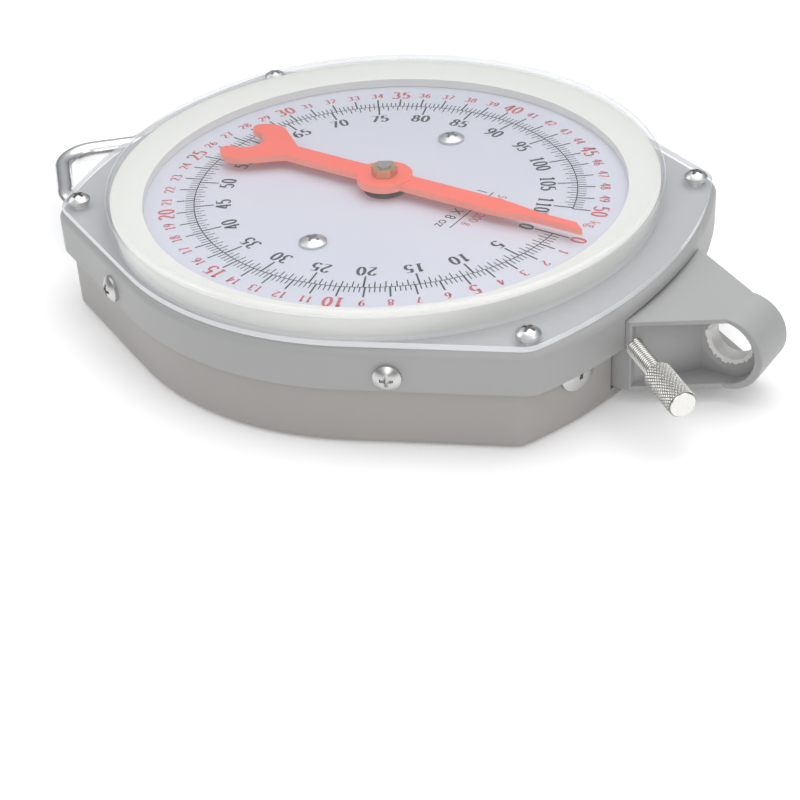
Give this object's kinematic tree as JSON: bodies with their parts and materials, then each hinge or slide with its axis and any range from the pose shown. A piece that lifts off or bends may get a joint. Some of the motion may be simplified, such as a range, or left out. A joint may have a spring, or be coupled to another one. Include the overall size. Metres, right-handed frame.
{
  "type": "hanging spring scale",
  "caption": "Hanging dial scale with a cast hanger eye, a sprung V bail that turns the pointer through a rack and pinion, and a knurled tare screw.",
  "frame": {"origin": "on the back face of the casing, under the centre of the dial", "axes": "+Z out through the dial, +Y towards the hanger eye and the dial's zero, +X towards three o'clock"},
  "size_m": [0.1976, 0.3, 0.0521],
  "materials": {
    "painted_shell": "semi-gloss warm grey enamel",
    "painted_casting": "grey enamel over a die casting",
    "clear_lens": "clear moulded plastic",
    "ivory_plastic": "smooth ivory",
    "dial_face": "printed pale lavender white",
    "orange_pointer": "translucent fluorescent orange",
    "zinc_screw": "bright zinc plate",
    "chrome_bail": "polished",
    "brass_fitting": "turned",
    "turned_steel": "plain steel",
    "spring_steel": "drawn wire",
    "black_nylon": "moulded"
  },
  "bodies": {
    "casing": {"rear_casing": "painted_shell", "front_cover": "painted_shell", "lens": "clear_lens", "bezel": "ivory_plastic", "dial_plate": "dial_face", "hanger_frame": "painted_casting", "lens_screws": "zinc_screw", "lens_nuts": "zinc_screw", "side_screws": "zinc_screw", "side_nuts": "zinc_screw", "frame_screws": "zinc_screw", "dial_posts": "turned_steel", "arbor_bridge": "turned_steel", "dial_spacers": "brass_fitting", "dial_screws": "zinc_screw", "lower_arbor_bush": "brass_fitting", "upper_arbor_bush": "brass_fitting", "rack_guide": "black_nylon", "bail_bushes": "black_nylon", "spring_left": "spring_steel", "spring_right": "spring_steel", "lever_pivot_pin": "turned_steel"},
    "load_carriage": {"bail": "chrome_bail", "bail_nuts": "zinc_screw", "crosshead": "turned_steel", "rack": "brass_fitting", "rack_screw": "zinc_screw", "lower_spring_pins": "turned_steel"},
    "pointer_arbor": {"arbor": "turned_steel", "pinion": "brass_fitting", "pointer": "orange_pointer", "pointer_nut": "brass_fitting"},
    "tare_pad": {"tare_pad": "brass_fitting"},
    "tare_screw": {"tare_screw": "zinc_screw"},
    "tare_lever": {"tare_lever": "turned_steel"},
    "tare_yoke": {"tare_yoke": "turned_steel", "upper_spring_pins": "turned_steel"}
  },
  "joints": [
    {"name": "load_slide", "type": "slide", "parent": "casing", "child": "load_carriage", "axis": [0, -1, 0], "range_m": [0, 0.02884], "stiffness_N_per_m": 17000, "deforming": ["spring_left", "spring_right"]},
    {"name": "pointer_turn", "type": "hinge", "parent": "casing", "child": "pointer_arbor", "pos_m": [0, 0, 0.04], "axis": [0, 0, -1], "range_deg": [0, 344.4]},
    {"name": "tare_advance", "type": "slide", "parent": "casing", "child": "tare_pad", "axis": [-0.6225, -0.7826, 0], "range_m": [-0.0015, 0.0015]},
    {"name": "tare_turn", "type": "hinge", "parent": "tare_pad", "child": "tare_screw", "pos_m": [0.0231, 0.1088, 0.0209], "axis": [-0.6225, -0.7826, 0], "range_deg": [-541, 541]},
    {"name": "tare_lever_pivot", "type": "hinge", "parent": "casing", "child": "tare_lever", "pos_m": [-0.00022, 0.09394, 0.0209], "axis": [0, 0, -1], "range_deg": [-9.6, 9.6]},
    {"name": "tare_yoke_slide", "type": "slide", "parent": "casing", "child": "tare_yoke", "axis": [0, 1, 0], "range_m": [-0.00184, 0.00184]}
  ],
  "couplings": [
    {"joint": "pointer_turn", "follows": "load_slide", "rad_per_m": 208.33},
    {"joint": "tare_turn", "follows": "tare_advance", "rad_per_m": 6283.2},
    {"joint": "tare_lever_pivot", "follows": "tare_advance", "rad_per_m": 111.11},
    {"joint": "tare_yoke_slide", "follows": "tare_advance", "ratio": 1.2222}
  ]
}
